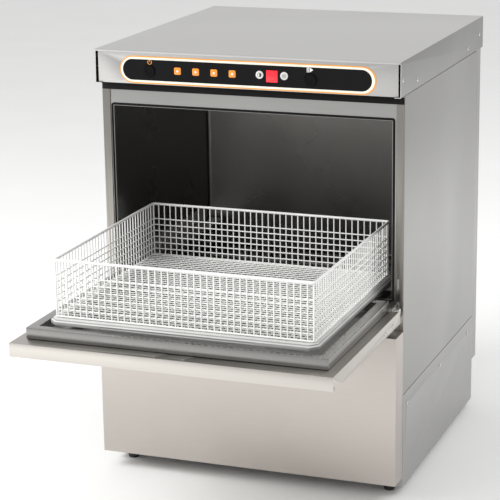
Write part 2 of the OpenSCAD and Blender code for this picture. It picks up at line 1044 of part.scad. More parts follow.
// Flat grid of bars: a plate of the given size with square windows
module grid(size, t) {
    columns = floor((size.x - bar_w) / bar_pitch);
    rows = floor((size.y - bar_w) / bar_pitch);
    window = bar_pitch - bar_w;
    linear_extrude(t)
        difference() {
            square(size);
            for (i = [0 : columns - 1], j = [0 : rows - 1])
                translate([size.x / 2 + (i - columns / 2) * bar_pitch + bar_w / 2,
                           size.y / 2 + (j - rows / 2) * bar_pitch + bar_w / 2])
                    square(window);
        }
}

module rack_basket() {
    x = rack_w / 2;
    y = [rack_front, rack_front + rack_d];
    z = [basket_z, rack_z + rack_h + rack_base_h];
    wall_h = z[1] - z[0];
    color("#f2f2ee") placed() {
        translate([-x, y[0], z[0]])
            grid([rack_w, rack_d], basket_t);
        for (py = [y[0] + basket_t, y[1]])
            translate([-x, py, z[0]])
                rotate([90, 0, 0])
                    grid([rack_w, wall_h], basket_t);
        for (px = [-x, x - basket_t])
            translate([px, y[0], z[0]])
                rotate([90, 0, 90])
                    grid([rack_d, wall_h], basket_t);
        ring([-x, x], y, [z[1] - rim_w, z[1]], rim_w);
    }
}

// Frame under the basket, its front corners cut off
module rack_base() {
    x = rack_base_x;
    y = [rack_base_front, rack_base_back];
    cut = 14;
    rail = 22;
    color("#f5f5f2") placed()
        translate([0, 0, rack_z])
            linear_extrude(rack_base_h - gap)
                difference() {
                    polygon([[-x, y[1]], [-x, y[0] + cut], [cut - x, y[0]], [x - cut, y[0]],
                             [x, y[0] + cut], [x, y[1]]]);
                    translate([rail - x, y[0] + rail])
                        square([2 * (x - rail), y[1] - y[0] - 2 * rail]);
                }
}

// ---- controls ----

// Push button along Y with a collar behind the fascia
module push_button(at, d, proud) {
    back = fascia_y + 9;
    front = fascia_y - label_t - proud;
    bar_y([at[0], front, at[1]], back - front, d / 2);
    bar_y([at[0], fascia_y + sheet + 2.8, at[1]], 2, d / 2 + 2);
}

module power_button() {
    color("#161618") placed()
        push_button(power_at, power_d, 2.3);
}

module start_button() {
    color("#161618") placed()
        push_button(start_at, start_d, 2.3);
}

module key_left() {
    color("#d4d4d0") placed()
        push_button(key_at[0], key_d, 1.4);
}

module key_right() {
    color("#d4d4d0") placed()
        push_button(key_at[1], key_d, 1.4);
}

chassis_base();
adjustable_feet();
front_frame();
lower_front_panel();
side_panel_left();
side_panel_right();
lower_side_panel_left();
lower_side_panel_right();
rear_panel();
rear_cover();
panel_screws();
hood();
fascia();
fascia_label();
lamp_lenses();
display_window();
control_board();
seal_strip();
door_gasket();
hinge_brackets();
wash_chamber();
rack_rails();
wash_tank();
tank_filter();
tank_element();
lower_spray_hub();
upper_spray_hub();
wash_riser();
suction_hose();
pump_volute();
pump_motor();
boiler();
boiler_element();
rinse_pipe();
inlet_valve();
drain_pipe();
rinse_aid_doser();
thermostats();
pressure_switch();
terminal_box();
cable_gland();
door_shell();
door_liner();
hinge_pins();
door_screws();
rack_basket();
rack_base();
power_button();
start_button();
key_left();
key_right();
lower_wash_arm();
lower_rinse_arm();
upper_wash_arm();
upper_rinse_arm();
pump_rotor();
overflow_standpipe();
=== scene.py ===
import json
import math

import bmesh
import bpy
from mathutils import Matrix, Vector


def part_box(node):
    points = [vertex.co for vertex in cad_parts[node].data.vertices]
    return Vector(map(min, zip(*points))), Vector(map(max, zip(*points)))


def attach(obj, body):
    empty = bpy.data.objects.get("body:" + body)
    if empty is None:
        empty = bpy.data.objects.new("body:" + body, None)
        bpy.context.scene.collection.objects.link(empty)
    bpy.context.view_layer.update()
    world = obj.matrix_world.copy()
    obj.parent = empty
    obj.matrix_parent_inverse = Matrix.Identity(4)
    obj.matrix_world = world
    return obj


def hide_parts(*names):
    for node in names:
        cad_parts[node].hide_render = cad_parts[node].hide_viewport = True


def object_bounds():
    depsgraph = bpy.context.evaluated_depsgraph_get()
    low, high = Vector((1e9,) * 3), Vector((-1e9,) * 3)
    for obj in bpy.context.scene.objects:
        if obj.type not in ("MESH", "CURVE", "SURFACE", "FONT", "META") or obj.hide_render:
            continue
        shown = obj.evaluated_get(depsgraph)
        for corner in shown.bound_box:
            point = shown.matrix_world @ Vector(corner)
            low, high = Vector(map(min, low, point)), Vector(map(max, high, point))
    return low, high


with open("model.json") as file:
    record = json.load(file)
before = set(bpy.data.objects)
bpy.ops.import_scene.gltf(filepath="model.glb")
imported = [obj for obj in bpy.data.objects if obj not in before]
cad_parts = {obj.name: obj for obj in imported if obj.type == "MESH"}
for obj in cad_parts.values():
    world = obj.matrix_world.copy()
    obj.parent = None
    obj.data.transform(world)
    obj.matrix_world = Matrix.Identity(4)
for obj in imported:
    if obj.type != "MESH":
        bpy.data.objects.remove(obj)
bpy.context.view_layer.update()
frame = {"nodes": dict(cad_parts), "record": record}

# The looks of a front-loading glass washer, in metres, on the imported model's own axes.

RECORD = frame["record"]
BODY_OF = {node: body for body, nodes in RECORD["behaviour"]["bodies"].items() for node in nodes}
SLOT_OF = {part["node"]: part["material_slot"] for part in RECORD["subparts"]}
COLOUR = {row["slot"]: row["base_color"] for row in RECORD["materials"]}
MM = 0.001
SHEET = 1.2 * MM
WELD = 0.002 * MM
CAMERA_AT = Vector((1.2141, -3.2822, 1.3856))
CAMERA_AZIMUTH = 20.816
CAMERA_ELEVATION = 15.149
CAMERA_ROLL = -0.85
CAMERA_LENS = 134.69


# ---- materials ----

class Shader:
    """A material with one Principled shader, and short ways to add nodes to it."""

    def __init__(self, name, **sockets):
        self.material = bpy.data.materials.new(name)
        self.material.use_nodes = True
        self.tree = self.material.node_tree
        self.bsdf = self.tree.nodes["Principled BSDF"]
        for socket, value in sockets.items():
            self.set(socket.replace("_", " "), value)

    def set(self, socket, value):
        self.bsdf.inputs[socket].default_value = value

    def add(self, kind, **settings):
        node = self.tree.nodes.new(kind)
        for key, value in settings.items():
            setattr(node, key, value)
        return node

    def link(self, out, into):
        self.tree.links.new(out, into)

    def noise(self, scale, detail=4.0, stretch=(1, 1, 1)):
        """Noise over the piece's own coordinates, stretched along an axis where its factor is small."""
        coords = self.add("ShaderNodeTexCoord")
        mapping = self.add("ShaderNodeMapping")
        mapping.inputs["Scale"].default_value = stretch
        self.link(coords.outputs["Object"], mapping.inputs["Vector"])
        noise = self.add("ShaderNodeTexNoise")
        noise.inputs["Scale"].default_value = scale
        noise.inputs["Detail"].default_value = detail
        self.link(mapping.outputs["Vector"], noise.inputs["Vector"])
        return noise.outputs["Fac"]

    def ramp(self, factor, low, high, start=0.3, end=0.7):
        """Colours from low to high as the factor goes from start to end."""
        ramp = self.add("ShaderNodeValToRGB")
        for element, colour, place in zip(ramp.color_ramp.elements, (low, high), (start, end)):
            element.color = (*colour, 1)
            element.position = place
        self.link(factor, ramp.inputs["Fac"])
        return ramp.outputs["Color"]

    def spread(self, factor, low, high):
        """Numbers from low to high as the factor goes from 0.25 to 0.75."""
        span = self.add("ShaderNodeMapRange")
        for socket, value in zip(("From Min", "From Max", "To Min", "To Max"), (0.25, 0.75, low, high)):
            span.inputs[socket].default_value = value
        self.link(factor, span.inputs["Value"])
        return span.outputs["Result"]

    def multiply(self, first, second):
        mix = self.add("ShaderNodeMix", data_type="RGBA", blend_type="MULTIPLY")
        mix.inputs["Factor"].default_value = 1
        self.link(first, mix.inputs["A"])
        self.link(second, mix.inputs["B"])
        return mix.outputs["Result"]

    def colour(self, out):
        self.link(out, self.bsdf.inputs["Base Color"])

    def roughness(self, out):
        self.link(out, self.bsdf.inputs["Roughness"])

    def bump(self, height, strength, distance):
        bump = self.add("ShaderNodeBump")
        bump.inputs["Strength"].default_value = strength
        bump.inputs["Distance"].default_value = distance
        self.link(height, bump.inputs["Height"])
        self.link(bump.outputs["Normal"], self.bsdf.inputs["Normal"])


def shade(colour, factor):
    """The colour made lighter or darker."""
    return tuple(min(1.0, c * factor) for c in colour)


def brushed(name, colour, roughness, along, grain=0.03, cloud=0.05, depth=0.03):
    """Stainless sheet with brush lines along one axis and faint clouds from handling."""
    stretch = tuple(0.012 if axis == along else 1.0 for axis in "XYZ")
    shader = Shader(name, Metallic=1.0)
    lines = shader.noise(1400, 3.0, stretch)
    clouds = shader.noise(7, 3.0)
    line_colour = shader.ramp(lines, shade(colour, 1 - grain), shade(colour, 1 + grain))
    cloud_colour = shader.ramp(clouds, (1 - cloud,) * 3, (1, 1, 1))
    shader.colour(shader.multiply(line_colour, cloud_colour))
    shader.roughness(shader.spread(clouds, roughness - 0.05, roughness + 0.05))
    shader.bump(lines, depth, 0.0002)
    return shader.material


def pressed(name, colour, roughness, grain=0.06, depth=0.12):
    """Satin metal without a direction, such as a pressing, a casting or a drawn tube."""
    shader = Shader(name, Metallic=1.0)
    fine = shader.noise(420, 5.0)
    clouds = shader.noise(12, 4.0)
    shader.colour(shader.multiply(shader.ramp(fine, shade(colour, 1 - grain), shade(colour, 1 + grain)),
                                  shader.ramp(clouds, (0.9,) * 3, (1, 1, 1))))
    shader.roughness(shader.spread(clouds, roughness - 0.06, roughness + 0.06))
    shader.bump(fine, depth, 0.0002)
    return shader.material


def moulded(name, colour, roughness, scale=500, mottle=0.06, depth=0.1, **sockets):
    """Plastic, rubber or paint with a fine texture and slight unevenness of colour."""
    shader = Shader(name, **sockets)
    fine = shader.noise(scale, 4.0)
    clouds = shader.noise(scale / 18, 3.0)
    shader.colour(shader.ramp(clouds, shade(colour, 1 - mottle), shade(colour, 1 + mottle)))
    shader.roughness(shader.spread(fine, roughness - 0.05, roughness + 0.05))
    shader.bump(fine, depth, 0.0003)
    return shader.material


def lit_lens(name, colour, strength):
    """A tinted window that glows faintly from behind."""
    shader = Shader(name, Coat_Weight=0.4, Coat_Roughness=0.08, Specular_IOR_Level=0.5)
    clouds = shader.noise(160, 2.0)
    tint = shader.ramp(clouds, shade(colour, 0.94), shade(colour, 1.04))
    shader.colour(tint)
    shader.roughness(shader.spread(clouds, 0.22, 0.32))
    shader.set("Emission Color", (*colour, 1))
    shader.set("Emission Strength", strength)
    return shader.material


def board(name, colour):
    """Circuit board lacquer over a pattern of tracks."""
    shader = Shader(name, Specular_IOR_Level=0.5)
    coords = shader.add("ShaderNodeTexCoord")
    bricks = shader.add("ShaderNodeTexBrick")
    bricks.inputs["Scale"].default_value = 90
    bricks.inputs["Color1"].default_value = (*shade(colour, 0.8), 1)
    bricks.inputs["Color2"].default_value = (*shade(colour, 1.2), 1)
    bricks.inputs["Mortar"].default_value = (*shade(colour, 1.9), 1)
    shader.link(coords.outputs["Object"], bricks.inputs["Vector"])
    shader.colour(bricks.outputs["Color"])
    shader.roughness(shader.spread(shader.noise(300), 0.3, 0.45))
    return shader.material


STEEL = {
    # Painted light: the panel steel made lighter (1.08) for the hood top and the brushed_panel slot, the lit
    # copy of the steel.
    "panel_x_lit": brushed("panel_steel_across_painted_light", shade(COLOUR["brushed_panel"], 1.08), 0.34, "X"),
    # Painted shade: the panel steel darkened to 0.68 for the upright side and rear panels, the shaded copy
    # of the steel.
    "panel_z_shaded": brushed("panel_steel_upright_painted_shade", shade(COLOUR["brushed_panel"], 0.68), 0.36, "Z"),
    # Painted shade: the panel steel darkened to 0.72 for the fascia front.
    "fascia_x_shaded": brushed("fascia_steel_painted_shade", shade(COLOUR["brushed_panel"], 0.72), 0.3, "X"),
    # Painted shade: the panel steel darkened to 0.5 for the hood's sides.
    "hood_z": brushed("hood_side_steel_painted_shade", shade(COLOUR["brushed_panel"], 0.5), 0.34, "Y"),
    # Painted shade: a dark copy of the steel for the jambs, standing for the shadow under the hood.
    "jamb_z_shaded": brushed("jamb_steel_painted_shade", (0.34, 0.325, 0.3), 0.3, "Z"),
    "warm_x": brushed("panel_steel_warm", (0.56, 0.52, 0.485), 0.34, "X"),
}
MATERIAL = {
    "brushed_panel": STEEL["panel_x_lit"],
    "frame_steel": brushed("frame_steel", shade(COLOUR["frame_steel"], 0.78), 0.3, "X"),
    "door_steel": brushed("door_steel", COLOUR["door_steel"], 0.32, "X", grain=0.02, cloud=0.03, depth=0.01),
    # Painted shade: the liner steel darkened to 0.42, the shaded copy beside the lighter liner band.
    "liner_steel": pressed("liner_steel", shade(COLOUR["liner_steel"], 0.42), 0.2, grain=0.02, depth=0.01),
    "chamber_steel": brushed("chamber_steel", shade(COLOUR["chamber_steel"], 0.55), 0.3, "Z", cloud=0.06),
    "bright_steel": pressed("bright_steel", COLOUR["bright_steel"], 0.16, grain=0.03),
    "black_rubber": moulded("black_rubber", shade(COLOUR["black_rubber"], 0.6), 0.7, depth=0.2,
                            Specular_IOR_Level=0.15),
    "black_plastic": moulded("black_plastic", COLOUR["black_plastic"], 0.45),
    "label_film": moulded("label_film", shade(COLOUR["label_film"], 0.4), 0.4, scale=900, depth=0.03,
                          Specular_IOR_Level=0.08),
    "lamp_plastic": lit_lens("lamp_plastic", (0.78, 0.26, 0.02), 0.18),
    "display_red": lit_lens("display_red", (0.9, 0.008, 0.02), 0.55),
    "circuit_board": board("circuit_board", COLOUR["circuit_board"]),
    "button_black": moulded("button_black", shade(COLOUR["button_black"], 0.15), 0.35, scale=700, depth=0.05,
                            Specular_IOR_Level=0.1),
    "key_plastic": moulded("key_plastic", COLOUR["key_plastic"], 0.35, scale=700, depth=0.05),
    "pipe_steel": pressed("pipe_steel", COLOUR["pipe_steel"], 0.3),
    "arm_steel": brushed("arm_steel", COLOUR["arm_steel"], 0.28, "X"),
    "motor_grey": moulded("motor_grey", COLOUR["motor_grey"], 0.5, scale=350, depth=0.25),
    "rinse_tube": pressed("rinse_tube", COLOUR["rinse_tube"], 0.28),
    "pale_plastic": moulded("pale_plastic", COLOUR["pale_plastic"], 0.45),
    "dark_plastic": moulded("dark_plastic", COLOUR["dark_plastic"], 0.4),
    "copper_bulb": pressed("copper_bulb", COLOUR["copper_bulb"], 0.3),
    "rack_white": moulded("rack_white", COLOUR["rack_white"], 0.4, scale=420, mottle=0.03, depth=0.08,
                          Coat_Weight=0.25, Coat_Roughness=0.2),
}
# Painted light: a lighter copy (0.7) of the liner steel for the upward faces of the liner's top band.
LINER_BAND_LIT = pressed("liner_band", shade(COLOUR["liner_steel"], 0.7), 0.26, grain=0.02, depth=0.01)
# Painted shade and painted light: a grey copy for the rack base's sides and a pale copy for its upward
# faces, in place of its one white plastic.
RACK_SHADED_GREY = moulded("rack_grey_painted_shade", (0.36, 0.36, 0.35), 0.5, scale=420, mottle=0.04, depth=0.08)
RACK_LIT_PALE = moulded("rack_pale_painted_light", (0.6, 0.6, 0.585), 0.45, scale=420, mottle=0.04, depth=0.08)
LABEL_ORANGE = moulded("label_orange", (0.80, 0.33, 0.06), 0.3, scale=900, depth=0.03)
LABEL_CREAM = moulded("label_cream", (0.88, 0.84, 0.72), 0.3, scale=900, depth=0.03)
LABEL_WHITE = moulded("label_white", (0.82, 0.82, 0.8), 0.3, scale=900, depth=0.03)

for name, cad in frame["nodes"].items():
    cad.data.materials.clear()
    cad.data.materials.append(MATERIAL[SLOT_OF[name]])


# ---- mesh helpers ----

def new_object(name, bm):
    """Turns a bmesh into an object in the scene."""
    mesh = bpy.data.meshes.new(name)
    bm.to_mesh(mesh)
    bm.free()
    obj = bpy.data.objects.new(name, mesh)
    bpy.context.scene.collection.objects.link(obj)
    return obj


def piece(name, bm, node, material=None, replaces=True):
    """Turns a bmesh into an object that rides with a CAD node's body and takes its finish."""
    obj = new_object(name, bm)
    for entry in (material if isinstance(material, list) else [material or MATERIAL[SLOT_OF[node]]]):
        obj.data.materials.append(entry)
    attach(obj, BODY_OF[node])
    if replaces:
        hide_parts(node)
    return obj


def finish_mesh(obj, angle=32):
    """Applies the modifiers and shades the curved faces smoothly."""
    depsgraph = bpy.context.evaluated_depsgraph_get()
    mesh = bpy.data.meshes.new_from_object(obj.evaluated_get(depsgraph))
    mesh.name = obj.name
    obj.modifiers.clear()
    obj.data = mesh
    mesh.shade_smooth()
    mesh.set_sharp_from_angle(angle=math.radians(angle))
    return obj


def rounded(obj, width, segments=2, angle=32):
    """Rounds the edges of a closed mesh."""
    bevel = obj.modifiers.new("round", "BEVEL")
    bevel.width = width
    bevel.segments = segments
    bevel.limit_method = "ANGLE"
    bevel.angle_limit = math.radians(30)
    bevel.use_clamp_overlap = True
    return finish_mesh(obj, angle)


def welded(node):
    """The triangles of a CAD node with their shared corners joined."""
    bm = bmesh.new()
    bm.from_mesh(frame["nodes"][node].data)
    bmesh.ops.remove_doubles(bm, verts=bm.verts, dist=WELD)
    return bm


def clean_copy(node):
    """The shape of a CAD node with its flat faces joined."""
    bm = welded(node)
    bmesh.ops.dissolve_limit(bm, angle_limit=math.radians(1), verts=bm.verts, edges=bm.edges)
    return bm


def refined(node, width=0.4 * MM, segments=2, material=None):
    """A piece with a CAD node's shape and rounded edges, which stands for that node."""
    return rounded(piece(node + "_fine", clean_copy(node), node, material), width, segments)


def islands(node):
    """Lowest and highest corner of each separate solid in a CAD node, from left to right."""
    bm = welded(node)
    left = set(bm.verts)
    found = []
    while left:
        group = [left.pop()]
        for vert in group:
            for edge in vert.link_edges:
                other = edge.other_vert(vert)
                if other in left:
                    left.remove(other)
                    group.append(other)
        found.append(tuple(Vector(pick(v.co[i] for v in group) for i in range(3)) for pick in (min, max)))
    bm.free()
    return sorted(found, key=lambda box: (round(box[0].x, 4), round(box[0].y, 4)))


def add_faces(bm, quads):
    """Flat faces from lists of corners."""
    for corners in quads:
        bm.faces.new([bm.verts.new(corner) for corner in corners])


def sheet_metal(name, bm, node, fold, thickness=SHEET, outwards=False, material=None):
    """Folded or pressed sheet: rounds the folds of an open surface, then gives it its thickness."""
    bmesh.ops.remove_doubles(bm, verts=bm.verts, dist=WELD)
    bmesh.ops.recalc_face_normals(bm, faces=bm.faces)
    centre = sum((f.calc_center_median() for f in bm.faces), Vector()) / len(bm.faces)
    facing = sum((f.calc_center_median() - centre).dot(f.normal) * f.calc_area() for f in bm.faces)
    if facing < 0:
        bmesh.ops.reverse_faces(bm, faces=bm.faces)
    folds = [e for e in bm.edges if len(e.link_faces) == 2 and e.calc_face_angle() > math.radians(25)]
    bmesh.ops.bevel(bm, geom=folds, offset=fold, segments=4, profile=0.5, affect="EDGES", clamp_overlap=True)
    obj = piece(name, bm, node, material)
    solid = obj.modifiers.new("sheet", "SOLIDIFY")
    solid.thickness = thickness
    solid.offset = 1 if outwards else -1
    solid.use_even_offset = True
    return finish_mesh(obj)


def rounded_rectangle(lo, hi, radius, steps=6):
    """Points round a rectangle in a plane, anticlockwise, its corners rounded."""
    points = []
    for cx, cy, start in ((hi[0], hi[1], 0), (lo[0], hi[1], 90), (lo[0], lo[1], 180), (hi[0], lo[1], 270)):
        inward = (-1 if cx == hi[0] else 1, -1 if cy == hi[1] else 1)
        for i in range(steps + 1):
            a = math.radians(start + 90 * i / steps)
            points.append((cx + inward[0] * radius + radius * math.cos(a),
                           cy + inward[1] * radius + radius * math.sin(a)))
    return points


def bridge(bm, lower, upper):
    """Faces between two closed loops of as many vertices."""
    count = len(lower)
    for i in range(count):
        j = (i + 1) % count
        bm.faces.new((lower[i], lower[j], upper[j], upper[i]))


def tube(bm, points, radius, closed=False, sides=8, up=Vector((0, 0, 1))):
    """Round bar along a path that lies in a plane across up, or straight along any axis."""
    points = [Vector(p) for p in points]
    count = len(points)
    rings = []
    for i, point in enumerate(points):
        before = points[i - 1] if closed or i else point
        after = points[(i + 1) % count] if closed or i < count - 1 else point
        forward = (after - before).normalized()
        helper = up if abs(forward.dot(up)) < 0.9 else Vector((1, 0, 0))
        side = forward.cross(helper).normalized()
        top = side.cross(forward)
        turn = 1.0
        if closed or 0 < i < count - 1:
            turn = 1 / max(0.5, math.cos((point - before).angle(after - point) / 2))
        rings.append([bm.verts.new(point + radius * (math.cos(a) * side * turn + math.sin(a) * top))
                      for a in (2 * math.pi * k / sides for k in range(sides))])
    for i in range(count if closed else count - 1):
        bridge(bm, rings[i], rings[(i + 1) % count])
    if not closed:
        bm.faces.new(list(reversed(rings[0])))
        bm.faces.new(rings[-1])


def smooth_tubes(name, bm, node):
    """A piece made of round bars, shaded smoothly along their length."""
    bmesh.ops.recalc_face_normals(bm, faces=bm.faces)
    return finish_mesh(piece(name, bm, node), 50)


def turned(bm, profile, at, axis, steps=40):
    """Turned shape: the profile's (distance along the axis, radius) pairs go round the axis at a point."""
    axis = Vector(axis).normalized()
    side = axis.orthogonal().normalized()
    other = axis.cross(side)
    rings = []
    for along, radius in profile:
        if radius < 1e-7:
            rings.append([bm.verts.new(Vector(at) + axis * along)])
            continue
        angles = (2 * math.pi * k / steps for k in range(steps))
        centre = Vector(at) + axis * along
        rings.append([bm.verts.new(centre + radius * (math.cos(a) * side + math.sin(a) * other))
                      for a in angles])
    for low, high in zip(rings, rings[1:]):
        if len(low) == 1 or len(high) == 1:
            point, loop = (low[0], high) if len(low) == 1 else (high[0], low)
            for k in range(steps):
                bm.faces.new((loop[k], loop[(k + 1) % steps], point))
        else:
            bridge(bm, low, high)


def plate(bm, outline, y_front, y_back, material=0):
    """Flat plate with an outline given as (x, z) points, between two depths."""
    front = [bm.verts.new((x, y_front, z)) for x, z in outline]
    back = [bm.verts.new((x, y_back, z)) for x, z in outline]
    made = [bm.faces.new(front), bm.faces.new(list(reversed(back)))]
    for i in range(len(front)):
        j = (i + 1) % len(front)
        made.append(bm.faces.new((front[j], front[i], back[i], back[j])))
    for face in made:
        face.material_index = material


def second_finish(obj, chosen):
    """Gives the piece's second material to the faces for which the test holds."""
    for face in obj.data.polygons:
        face.material_index = int(chosen(face))


def cut(obj, tool, angle=32):
    """Takes the closed shape in a bmesh away from a piece."""
    bmesh.ops.recalc_face_normals(tool, faces=tool.faces)
    cutter = new_object("cutting_tool", tool)
    difference = obj.modifiers.new("cut", "BOOLEAN")
    difference.operation = "DIFFERENCE"
    difference.solver = "EXACT"
    difference.use_self = True
    difference.object = cutter
    finish_mesh(obj, angle)
    bpy.data.objects.remove(cutter)


# ---- casing ----

def make_hood():
    """The hood is one folded shell, open below and in front, with a narrow lip over the fascia."""
    (x0, y0, z0), (x1, y1, z1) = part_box("hood")
    lip, flange = 4 * MM, 12 * MM
    bm = bmesh.new()
    add_faces(bm, [
        [(x0, y0, z1), (x1, y0, z1), (x1, y1, z1), (x0, y1, z1)],
        [(x0, y0, z0), (x0, y1, z0), (x0, y1, z1), (x0, y0, z1), (x0, y0, z1 - lip)],
        [(x1, y0, z0), (x1, y1, z0), (x1, y1, z1), (x1, y0, z1), (x1, y0, z1 - lip)],
        [(x0, y1, z0), (x1, y1, z0), (x1, y1, z1), (x0, y1, z1)],
        [(x0, y0, z1), (x1, y0, z1), (x1, y0, z1 - lip), (x0, y0, z1 - lip)],
        [(x1, y0, z0), (x1, y1, z0), (x1 - flange, y1 - flange, z0), (x1 - flange, y0, z0)],
        [(x0, y0, z0), (x0, y1, z0), (x0 + flange, y1 - flange, z0), (x0 + flange, y0, z0)],
        [(x0, y1, z0), (x1, y1, z0), (x1 - flange, y1 - flange, z0), (x0 + flange, y1 - flange, z0)],
    ])
    hood = sheet_metal("hood_shell", bm, "hood", fold=1.4 * MM, material=[STEEL["panel_x_lit"], STEEL["hood_z"]])
    # Painted shade: faces turned sideways take the darker copy, so the hood's sides read darker than its
    # top.
    second_finish(hood, lambda face: abs(face.normal.x) > 0.7)


make_hood()
# Painted shade: the fascia takes the darkened copy of the panel steel.
refined("fascia", 0.5 * MM, material=STEEL["fascia_x_shaded"])
# Painted shade: the side, lower side and rear panels take the darkened copy of the panel steel.
for side in ("left", "right"):
    panel = refined("side_panel_" + side, 0.5 * MM, material=[STEEL["panel_z_shaded"], STEEL["jamb_z_shaded"]])
    # Painted shade: the side panels' front-facing jamb faces take the dark copy of the steel.
    second_finish(panel, lambda face: face.normal.y < -0.7)
    refined("lower_side_panel_" + side, 0.5 * MM, material=STEEL["panel_z_shaded"])
refined("rear_cover", 0.5 * MM, material=STEEL["panel_z_shaded"])
refined("lower_front_panel", 0.55 * MM, 3, STEEL["warm_x"])
refined("front_frame", 0.4 * MM)
refined("seal_strip", 0.5 * MM)
refined("hinge_brackets", 0.4 * MM)
refined("adjustable_feet", 0.7 * MM)
refined("chassis_base", 0.3 * MM)


def make_gasket():
    """Rubber seal with a rounded front that runs round the loading opening."""
    (x0, y0, z0), (x1, y1, z1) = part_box("door_gasket")
    width = 3.6 * MM
    bm = bmesh.new()
    outer = rounded_rectangle((x0, z0), (x1, z1), 5 * MM)
    inner = rounded_rectangle((x0 + width, z0 + width), (x1 - width, z1 - width), 1.4 * MM)
    profile = [(0.0, 1.0), (0.0, 0.35), (0.18, 0.08), (0.5, 0.0), (0.82, 0.08), (1.0, 0.35), (1.0, 1.0)]
    loops = []
    for across, deep in profile:
        y = y0 + deep * (y1 - y0)
        loops.append([bm.verts.new((o[0] + across * (i[0] - o[0]), y, o[1] + across * (i[1] - o[1])))
                      for o, i in zip(outer, inner)])
    for k in range(len(loops)):
        bridge(bm, loops[k], loops[(k + 1) % len(loops)])
    smooth_tubes("gasket_ring", bm, "door_gasket")


make_gasket()


def make_screws(node, name):
    """Pan heads with a cross recess on the machine's sides, for each solid of the CAD node."""
    heads, crosses = bmesh.new(), bmesh.new()
    for lo, hi in islands(node):
        out = 1 if lo.x + hi.x > 0 else -1
        centre = Vector((hi.x if out > 0 else lo.x, (lo.y + hi.y) / 2, (lo.z + hi.z) / 2))
        axis, radius, height = Vector((out, 0, 0)), (hi.z - lo.z) / 2, 1.6 * MM
        profile = [(0, 0), (-0.06 * height, 0.45 * radius), (-0.25 * height, 0.78 * radius),
                   (-0.6 * height, 0.96 * radius), (-height, radius), (-height - 0.3 * MM, 0.5 * radius),
                   (-height - 4 * MM, 0.5 * radius), (-height - 4 * MM, 0)]
        turned(heads, profile, centre, axis, 32)
        side = axis.orthogonal().normalized()
        other = axis.cross(side)
        for long, short in ((side, other), (other, side)):
            corners = []
            for depth in (-0.8 * height, 0.5 * MM):
                corners.append([crosses.verts.new(centre + axis * depth + long * a * 0.55 * radius
                                                  + short * b * 0.13 * radius)
                                for a, b in ((-1, -1), (1, -1), (1, 1), (-1, 1))])
            bridge(crosses, *corners)
            crosses.faces.new(list(reversed(corners[0])))
            crosses.faces.new(corners[1])
    bmesh.ops.recalc_face_normals(heads, faces=heads.faces)
    cut(piece(name, heads, node), crosses, 40)


make_screws("panel_screws", "panel_screw_heads")
make_screws("door_screws", "door_screw_heads")


# ---- washing chamber ----

def make_chamber():
    """Pressed chamber with rounded inner corners, open in front and over the tank."""
    (x0, y0, z0), (x1, y1, z1) = (c.copy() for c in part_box("wash_chamber"))
    x0, x1, y1, z0, z1 = x0 + SHEET, x1 - SHEET, y1 - SHEET, z0 + SHEET, z1 - SHEET
    tank_lo, tank_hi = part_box("wash_tank")
    edge = 16 * MM
    hx0, hx1 = tank_lo.x + edge, tank_hi.x - edge
    hy0, hy1 = tank_lo.y + edge, tank_hi.y - edge
    bm = bmesh.new()
    add_faces(bm, [
        [(x0, y0, z0), (x0, y1, z0), (x0, y1, z1), (x0, y0, z1)],
        [(x1, y0, z0), (x1, y1, z0), (x1, y1, z1), (x1, y0, z1)],
        [(x0, y1, z0), (x1, y1, z0), (x1, y1, z1), (x0, y1, z1)],
        [(x0, y0, z1), (x1, y0, z1), (x1, y1, z1), (x0, y1, z1)],
        [(x0, y0, z0), (x1, y0, z0), (hx1, hy0, z0), (hx0, hy0, z0)],
        [(x1, y0, z0), (x1, y1, z0), (hx1, hy1, z0), (hx1, hy0, z0)],
        [(x1, y1, z0), (x0, y1, z0), (hx0, hy1, z0), (hx1, hy1, z0)],
        [(x0, y1, z0), (x0, y0, z0), (hx0, hy0, z0), (hx0, hy1, z0)],
    ])
    sheet_metal("chamber_pressing", bm, "wash_chamber", fold=7 * MM, outwards=True)


make_chamber()
refined("wash_tank", 0.5 * MM)
refined("rack_rails", 0.4 * MM)
refined("tank_filter", 0.3 * MM)
for arm in ("lower_wash_arm", "lower_rinse_arm", "upper_wash_arm", "upper_rinse_arm"):
    refined(arm, 0.7 * MM, 3)


# ---- door ----

refined("door_shell", 0.45 * MM, 2)


def make_liner():
    """Pressed tray on the door: a raised band round a shallow recess."""
    lo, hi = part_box("door_liner")
    band, wall = 18 * MM, 1.4 * MM
    bm = bmesh.new()
    loops = []
    for inset, z in ((0, lo.z + 1 * MM), (0, hi.z), (band, hi.z), (band, lo.z + wall)):
        outline = rounded_rectangle((lo.x + inset, lo.y + inset), (hi.x - inset, hi.y - inset), 2 * MM)
        loops.append([bm.verts.new((x, y, z)) for x, y in outline])
    for lower, upper in zip(loops, loops[1:]):
        bridge(bm, lower, upper)
    bm.faces.new(loops[-1])
    bmesh.ops.recalc_face_normals(bm, faces=bm.faces)
    floor = max(bm.faces, key=lambda f: f.calc_area())
    if floor.normal.z < 0:
        bmesh.ops.reverse_faces(bm, faces=bm.faces)
    folds = [e for e in bm.edges if len(e.link_faces) == 2 and e.calc_face_angle() > math.radians(60)]
    bmesh.ops.bevel(bm, geom=folds, offset=1.1 * MM, segments=3, profile=0.5, affect="EDGES",
                    clamp_overlap=True)
    obj = piece("liner_tray", bm, "door_liner", [MATERIAL["liner_steel"], LINER_BAND_LIT])
    solid = obj.modifiers.new("sheet", "SOLIDIFY")
    solid.thickness = wall
    solid.offset = -1
    finish_mesh(obj, 40)
    # Painted light: the upward faces of the top band take the lighter copy of the liner steel.
    second_finish(obj, lambda face: face.normal.z > 0.7 and face.center.z > hi.z - wall)


make_liner()


# ---- rack ----

